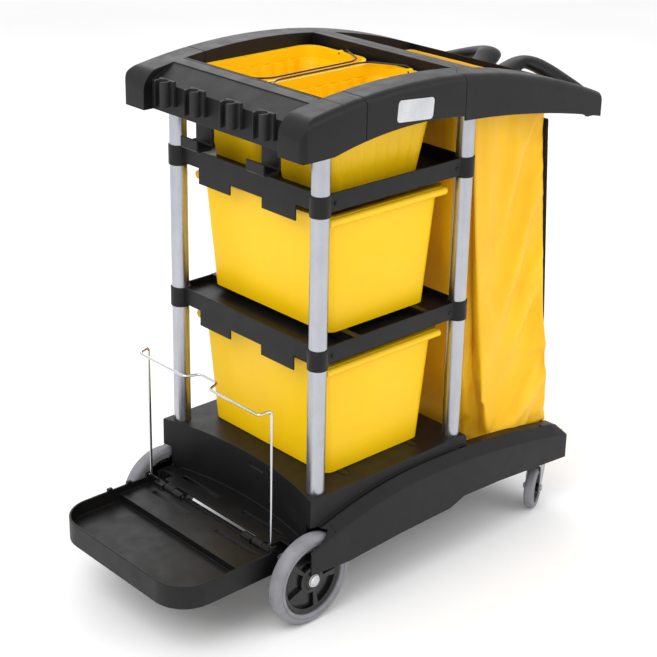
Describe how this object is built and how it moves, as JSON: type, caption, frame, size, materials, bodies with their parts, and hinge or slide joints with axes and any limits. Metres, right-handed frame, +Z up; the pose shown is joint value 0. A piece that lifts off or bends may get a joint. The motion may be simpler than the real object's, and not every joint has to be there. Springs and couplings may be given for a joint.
{
  "type": "housekeeping cart",
  "caption": "Housekeeping cart with yellow tubs, buckets and a refuse bag, a black moulded base and hood, tube posts and a fold-down platform.",
  "frame": {"origin": "on the floor, under the middle of the bounding box", "axes": "+X towards the push handle, +Y towards the operator's right, +Z up"},
  "size_m": [1.1669, 0.559, 1.118],
  "materials": {
    "black_plastic": "moulded, fine satin texture",
    "yellow_plastic": "moulded, satin",
    "tube_aluminium": "extruded and clear anodised",
    "tyre_rubber": "grey thermoplastic rubber",
    "bush_plastic": "natural acetal, machined",
    "zinc_steel": "zinc plated and passivated",
    "chrome_wire": "bright plated wire",
    "bail_wire": "dark brown coated wire",
    "grip_rubber": "soft black thermoplastic rubber",
    "label_aluminium": "plain blank plate, brushed",
    "bag_vinyl": "vinyl coated woven polyester",
    "zip_tape": "woven polyester tape with moulded coil"
  },
  "bodies": {
    "cart": {"base": "black_plastic", "axle": "zinc_steel", "axle_caps": "chrome_wire", "caster_left_plate": "zinc_steel", "caster_right_plate": "zinc_steel", "caster_bolts": "zinc_steel", "platform_hinge_pins": "zinc_steel", "post_lower_front_left": "tube_aluminium", "post_lower_front_right": "tube_aluminium", "post_lower_rear_left": "tube_aluminium", "post_lower_rear_right": "tube_aluminium", "post_middle_front_left": "tube_aluminium", "post_middle_front_right": "tube_aluminium", "post_middle_rear_left": "tube_aluminium", "post_middle_rear_right": "tube_aluminium", "post_upper_front_left": "tube_aluminium", "post_upper_front_right": "tube_aluminium", "post_upper_rear_left": "tube_aluminium", "post_upper_rear_right": "tube_aluminium", "middle_shelf": "black_plastic", "upper_shelf": "black_plastic", "shelf_screws": "zinc_steel", "hood_front": "black_plastic", "hood_middle": "black_plastic", "hood_rear": "black_plastic", "handle": "black_plastic", "tool_grips": "grip_rubber", "tool_hooks": "black_plastic", "label_plate": "label_aluminium", "bag": "bag_vinyl", "bag_zipper": "zip_tape"},
    "wheel_left": {"wheel_left_tyre": "tyre_rubber", "wheel_left_hub": "black_plastic", "wheel_left_bushes": "bush_plastic"},
    "caster_left_swivel": {"caster_left_race": "zinc_steel", "caster_left_fork": "zinc_steel", "caster_left_axle_bolt": "zinc_steel"},
    "caster_left_wheel": {"caster_left_hub": "black_plastic", "caster_left_tyre": "tyre_rubber"},
    "bucket_left_body": {"bucket_left": "yellow_plastic"},
    "bail_left_body": {"bail_left": "bail_wire"},
    "wheel_right": {"wheel_right_tyre": "tyre_rubber", "wheel_right_hub": "black_plastic", "wheel_right_bushes": "bush_plastic"},
    "caster_right_swivel": {"caster_right_race": "zinc_steel", "caster_right_fork": "zinc_steel", "caster_right_axle_bolt": "zinc_steel"},
    "caster_right_wheel": {"caster_right_hub": "black_plastic", "caster_right_tyre": "tyre_rubber"},
    "bucket_right_body": {"bucket_right": "yellow_plastic"},
    "bail_right_body": {"bail_right": "bail_wire"},
    "platform_tray": {"platform": "black_plastic"},
    "platform_hoop": {"platform_wire": "chrome_wire"},
    "tub_upper_body": {"tub_upper": "yellow_plastic"},
    "tub_lower_body": {"tub_lower": "yellow_plastic"},
    "zip_pull": {"zipper_slider": "zinc_steel"}
  },
  "joints": [
    {"name": "wheel_left_spin", "type": "hinge", "parent": "cart", "child": "wheel_left", "pos_m": [-0.273, -0.252, 0.1016], "axis": [0, 1, 0], "continuous": true},
    {"name": "wheel_right_spin", "type": "hinge", "parent": "cart", "child": "wheel_right", "pos_m": [-0.273, 0.252, 0.1016], "axis": [0, 1, 0], "continuous": true},
    {"name": "caster_left_swivel", "type": "hinge", "parent": "cart", "child": "caster_left_swivel", "pos_m": [0.4765, -0.232, 0.119], "axis": [0, 0, 1], "continuous": true},
    {"name": "caster_left_spin", "type": "hinge", "parent": "caster_left_swivel", "child": "caster_left_wheel", "pos_m": [0.45155, -0.24471, 0.0508], "axis": [-0.454, 0.891, 0], "continuous": true},
    {"name": "caster_right_swivel", "type": "hinge", "parent": "cart", "child": "caster_right_swivel", "pos_m": [0.4765, 0.232, 0.119], "axis": [0, 0, 1], "continuous": true},
    {"name": "caster_right_spin", "type": "hinge", "parent": "caster_right_swivel", "child": "caster_right_wheel", "pos_m": [0.45155, 0.24471, 0.0508], "axis": [0.454, 0.891, 0], "continuous": true},
    {"name": "platform_fold", "type": "hinge", "parent": "cart", "child": "platform_tray", "pos_m": [-0.3235, 0, 0.156], "axis": [0, 1, 0], "range_deg": [0, 90]},
    {"name": "wire_fold", "type": "hinge", "parent": "platform_tray", "child": "platform_hoop", "pos_m": [-0.3355, 0, 0.174], "axis": [0, 1, 0], "range_deg": [-90, 0]},
    {"name": "tub_upper_slide", "type": "slide", "parent": "cart", "child": "tub_upper_body", "axis": [0, 1, 0], "range_m": [-0.45, 0.45]},
    {"name": "tub_lower_slide", "type": "slide", "parent": "cart", "child": "tub_lower_body", "axis": [0, 1, 0], "range_m": [-0.45, 0.45]},
    {"name": "bucket_left_lift", "type": "slide", "parent": "cart", "child": "bucket_left_body", "axis": [0, 0, 1], "range_m": [0, 0.3]},
    {"name": "bail_left_swing", "type": "hinge", "parent": "bucket_left_body", "child": "bail_left_body", "pos_m": [-0.0435, -0.10475, 1.0823], "axis": [1, 0, 0], "range_deg": [0, 125]},
    {"name": "bucket_right_lift", "type": "slide", "parent": "cart", "child": "bucket_right_body", "axis": [0, 0, 1], "range_m": [0, 0.3]},
    {"name": "bail_right_swing", "type": "hinge", "parent": "bucket_right_body", "child": "bail_right_body", "pos_m": [-0.0435, 0.10475, 1.0823], "axis": [-1, 0, 0], "range_deg": [0, 125]},
    {"name": "zip_slide", "type": "slide", "parent": "cart", "child": "zip_pull", "axis": [-0.0745, 0, 0.9972], "range_m": [-0.66, 0]}
  ],
  "couplings": [
    {"joint": "wire_fold", "follows": "platform_fold", "ratio": -1}
  ]
}
